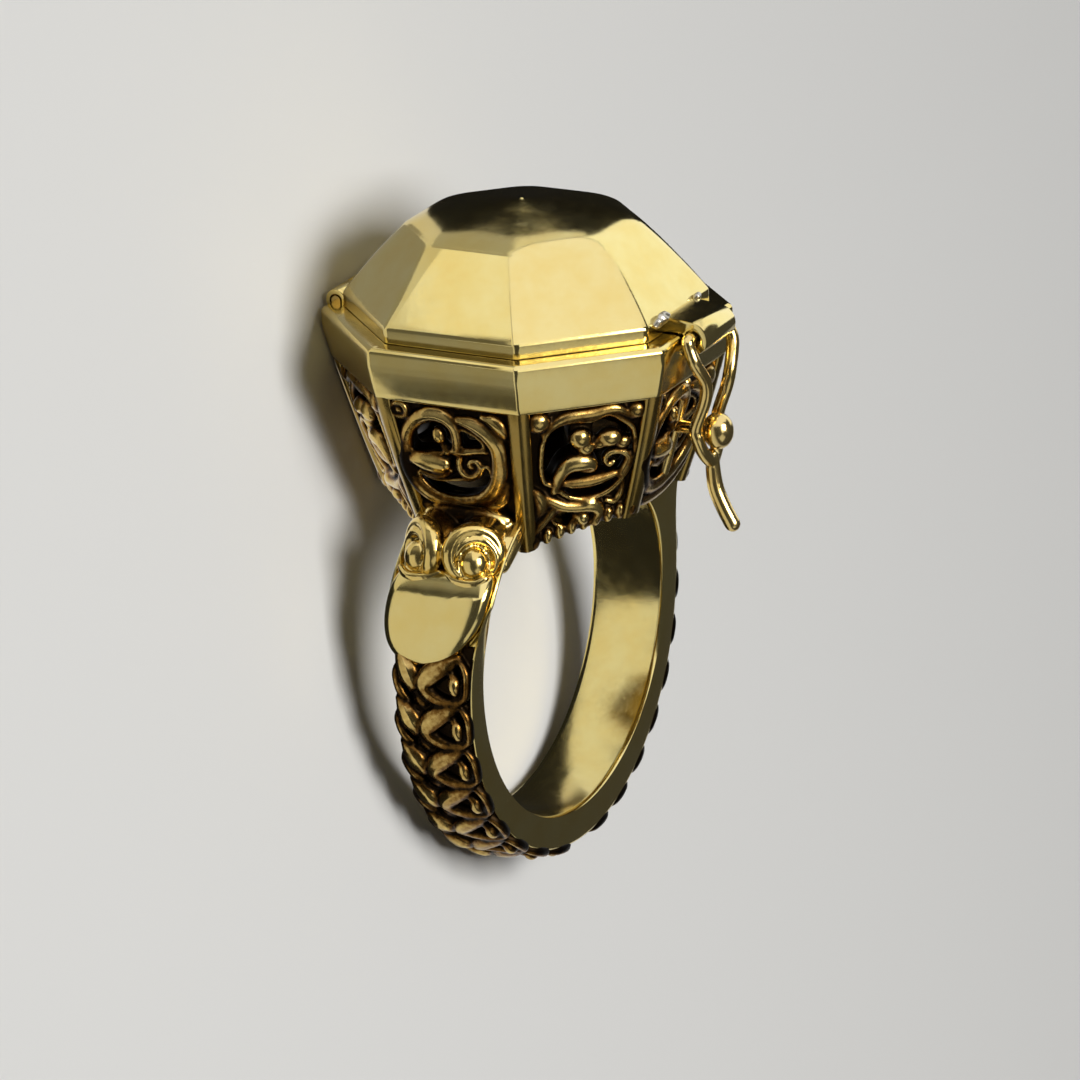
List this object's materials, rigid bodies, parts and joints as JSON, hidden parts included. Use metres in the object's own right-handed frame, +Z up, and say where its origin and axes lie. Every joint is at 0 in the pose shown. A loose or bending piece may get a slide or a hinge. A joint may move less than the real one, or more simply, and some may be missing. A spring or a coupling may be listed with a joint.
{
  "type": "locket ring",
  "caption": "Brass locket ring: octagonal lid hinged on a tapering pierced scrollwork cup, closed by a wire hasp over a ball stud; shank with leaf relief and volutes.",
  "frame": {"origin": "centre of the base of the box round the ring, which lies on its back side", "axes": "+Y along the ring from the shank to the lid, +X across the finger hole, +Z up from the surface it lies on"},
  "size_m": [0.0246, 0.0348, 0.0206],
  "materials": {
    "antiqued_brass": "polished, dark antiquing in the relief",
    "polished_brass": "mirror polished, fine scratches",
    "brass_pin": "satin",
    "brass_wire": "polished wire"
  },
  "bodies": {
    "ring": {"ring_body": "antiqued_brass", "hinge_pin": "brass_pin"},
    "lid": {"lid": "polished_brass"},
    "clasp": {"clasp_loop": "brass_wire"}
  },
  "joints": [
    {"name": "lid_hinge", "type": "hinge", "parent": "ring", "child": "lid", "pos_m": [0, 0.01395, 0.00089], "axis": [-1, 0, 0], "range_deg": [0, 105]},
    {"name": "clasp_hinge", "type": "hinge", "parent": "lid", "child": "clasp", "pos_m": [0, 0.00851, 0.0197], "axis": [-1, 0, 0], "range_deg": [0, 110]}
  ]
}
